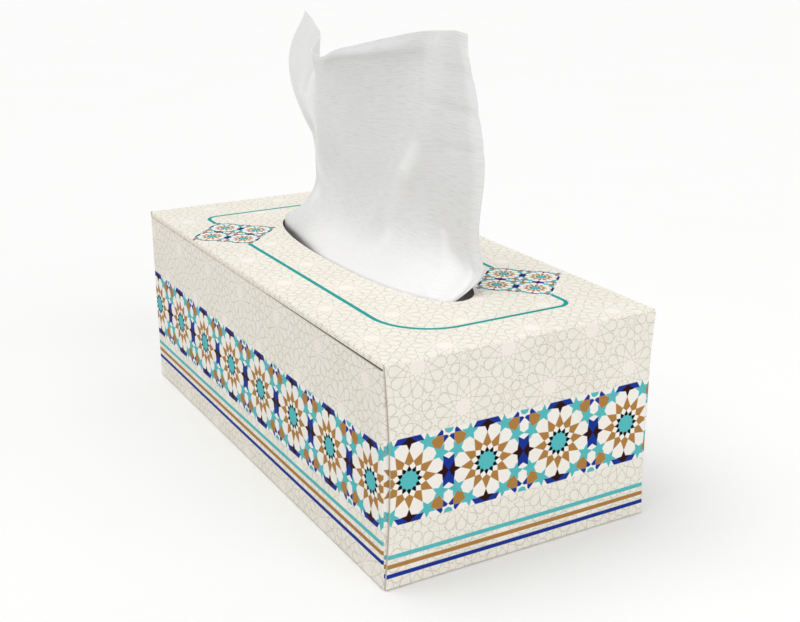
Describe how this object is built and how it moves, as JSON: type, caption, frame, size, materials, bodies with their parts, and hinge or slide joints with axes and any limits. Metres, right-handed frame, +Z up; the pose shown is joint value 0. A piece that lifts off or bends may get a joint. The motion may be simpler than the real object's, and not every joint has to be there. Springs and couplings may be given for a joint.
{
  "type": "tissue box",
  "caption": "Long low tissue carton of folded printed board with an oval mouth in its top, filled with interfolded tissues, and with a tissue standing up out of the mouth.",
  "frame": {"origin": "centre of the carton's bottom face", "axes": "+X along the carton's long side, +Y across its width, away from the long side with the glued seam, +Z up through the mouth"},
  "size_m": [0.23, 0.1134, 0.1795],
  "materials": {
    "printed_board": "smooth matte printed folding board",
    "tissue_paper": "soft creped two-ply tissue"
  },
  "bodies": {
    "root": {"carton": "printed_board", "tissue_stack": "tissue_paper", "popup_tissue": "tissue_paper"}
  },
  "joints": []
}
